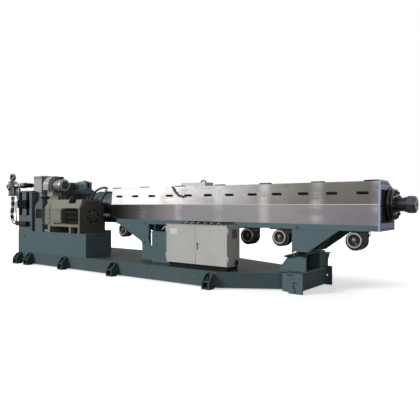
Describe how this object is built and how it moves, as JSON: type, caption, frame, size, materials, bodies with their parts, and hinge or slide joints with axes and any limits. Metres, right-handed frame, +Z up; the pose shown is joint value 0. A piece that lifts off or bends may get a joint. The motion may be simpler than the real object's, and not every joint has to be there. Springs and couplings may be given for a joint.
{
  "type": "single-screw plastic extruder",
  "caption": "Single-screw plastic extruder on a long welded bed: motor, gearbox, blower and guards, covered barrel with fans below, heater cabinet and round die flange.",
  "frame": {"origin": "on the floor, under the middle of the whole machine's box", "axes": "+X along the screw towards the die end, +Y away from the operator, +Z up"},
  "size_m": [8.66, 2.09, 2],
  "materials": {
    "machine_paint": "semi-gloss grey-teal paint",
    "guard_paint": "semi-gloss dark teal paint",
    "gearbox_paint": "satin grey-teal paint on a casting",
    "motor_paint": "satin olive-grey paint",
    "bell_paint": "satin dark olive paint",
    "filter_paint": "satin white",
    "cover_steel": "fine vertical brush",
    "black_trim": "matte",
    "end_plate_paint": "semi-gloss blue-grey paint",
    "black_steel": "blackened and oiled",
    "barrel_steel": "turned",
    "cabinet_paint": "fine textured light grey powder coat",
    "fan_black": "satin black",
    "oil_unit_metal": "dull, with bright fittings",
    "black_rubber": "matte",
    "orange_hose": "satin",
    "cup_metal": "satin"
  },
  "bodies": {
    "machine": {"barrel": "barrel_steel", "barrel_beam": "machine_paint", "barrel_cover_1": "cover_steel", "barrel_cover_2": "cover_steel", "barrel_cover_3": "cover_steel", "barrel_cover_4": "cover_steel", "barrel_cover_5": "cover_steel", "barrel_cover_6": "cover_steel", "barrel_flange": "black_steel", "barrel_support_block": "black_steel", "bed_end_box": "machine_paint", "bed_frame": "machine_paint", "belt_guard": "guard_paint", "blower_duct": "motor_paint", "blower_filter": "filter_paint", "cabinet": "cabinet_paint", "cooling_fans": "fan_black", "coupling_guard": "guard_paint", "cover_clips": "black_trim", "cover_handles": "black_trim", "cover_top_box": "filter_paint", "die_adapter": "black_steel", "drip_cup": "cup_metal", "end_support": "machine_paint", "feed_housing": "gearbox_paint", "feed_water_hose": "orange_hose", "frame_end_plate": "end_plate_paint", "gearbox_lower_case": "gearbox_paint", "gearbox_pedestal": "machine_paint", "gearbox_upper_case": "gearbox_paint", "guard_junction_box": "black_trim", "heater_cables": "black_rubber", "left_leg": "machine_paint", "levelling_feet": "machine_paint", "main_motor": "motor_paint", "motor_blower": "motor_paint", "motor_end_bell": "bell_paint", "motor_pedestal": "machine_paint", "oil_hoses": "black_rubber", "oil_unit": "oil_unit_metal", "right_leg": "machine_paint", "slotted_guard": "machine_paint", "water_tank": "machine_paint"},
    "left_door": {"cabinet_door_left": "cabinet_paint"},
    "right_door": {"cabinet_door_right": "cabinet_paint"}
  },
  "joints": [
    {"name": "left_door_hinge", "type": "hinge", "parent": "machine", "child": "left_door", "pos_m": [0.579, -0.842, 0.655], "axis": [0, 0, -1], "range_deg": [0, 110]},
    {"name": "right_door_hinge", "type": "hinge", "parent": "machine", "child": "right_door", "pos_m": [1.848, -0.842, 0.655], "axis": [0, 0, 1], "range_deg": [0, 110]}
  ]
}
